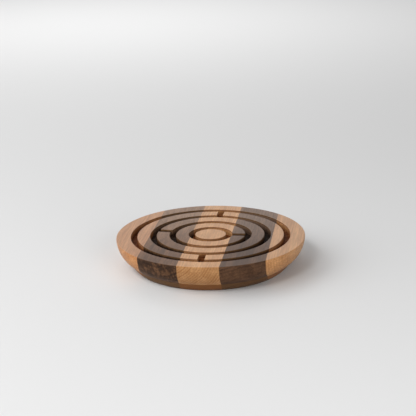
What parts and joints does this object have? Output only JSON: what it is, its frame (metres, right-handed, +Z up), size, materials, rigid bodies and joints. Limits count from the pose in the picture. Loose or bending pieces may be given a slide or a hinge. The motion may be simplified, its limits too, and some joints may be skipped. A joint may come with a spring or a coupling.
{
  "type": "tilt maze game",
  "caption": "Round wooden tilt maze: a board of light and dark staves with ring-shaped lanes, gates between them and steel balls that roll round the lanes.",
  "frame": {"origin": "centre of the flat underside", "axes": "+Z up out of the playing face, +Y along the staves towards the back gate, +X to the right"},
  "size_m": [0.2, 0.2, 0.032],
  "materials": {
    "light_wood": "oiled, satin",
    "dark_wood": "oiled, satin",
    "ball_steel": "polished"
  },
  "bodies": {
    "board": {"left_light_stave": "light_wood", "left_dark_stave": "dark_wood", "centre_stave": "light_wood", "right_dark_stave": "dark_wood", "right_light_stave": "light_wood"},
    "gate_ball": {"gate_ball": "ball_steel"},
    "second_lane_ball": {"second_lane_ball": "ball_steel"},
    "third_lane_ball": {"third_lane_ball": "ball_steel"},
    "inner_lane_ball": {"inner_lane_ball": "ball_steel"}
  },
  "joints": [
    {"name": "gate_pass", "type": "slide", "parent": "board", "child": "gate_ball", "axis": [-0.0157, 0.9999, 0], "range_m": [0, 0.02045]},
    {"name": "second_lane_orbit", "type": "hinge", "parent": "board", "child": "second_lane_ball", "pos_m": [0, 0, 0], "axis": [0, 0, 1], "continuous": true},
    {"name": "third_lane_orbit", "type": "hinge", "parent": "board", "child": "third_lane_ball", "pos_m": [0, 0, 0], "axis": [0, 0, 1], "continuous": true},
    {"name": "inner_lane_orbit", "type": "hinge", "parent": "board", "child": "inner_lane_ball", "pos_m": [0, 0, 0], "axis": [0, 0, 1], "continuous": true}
  ]
}
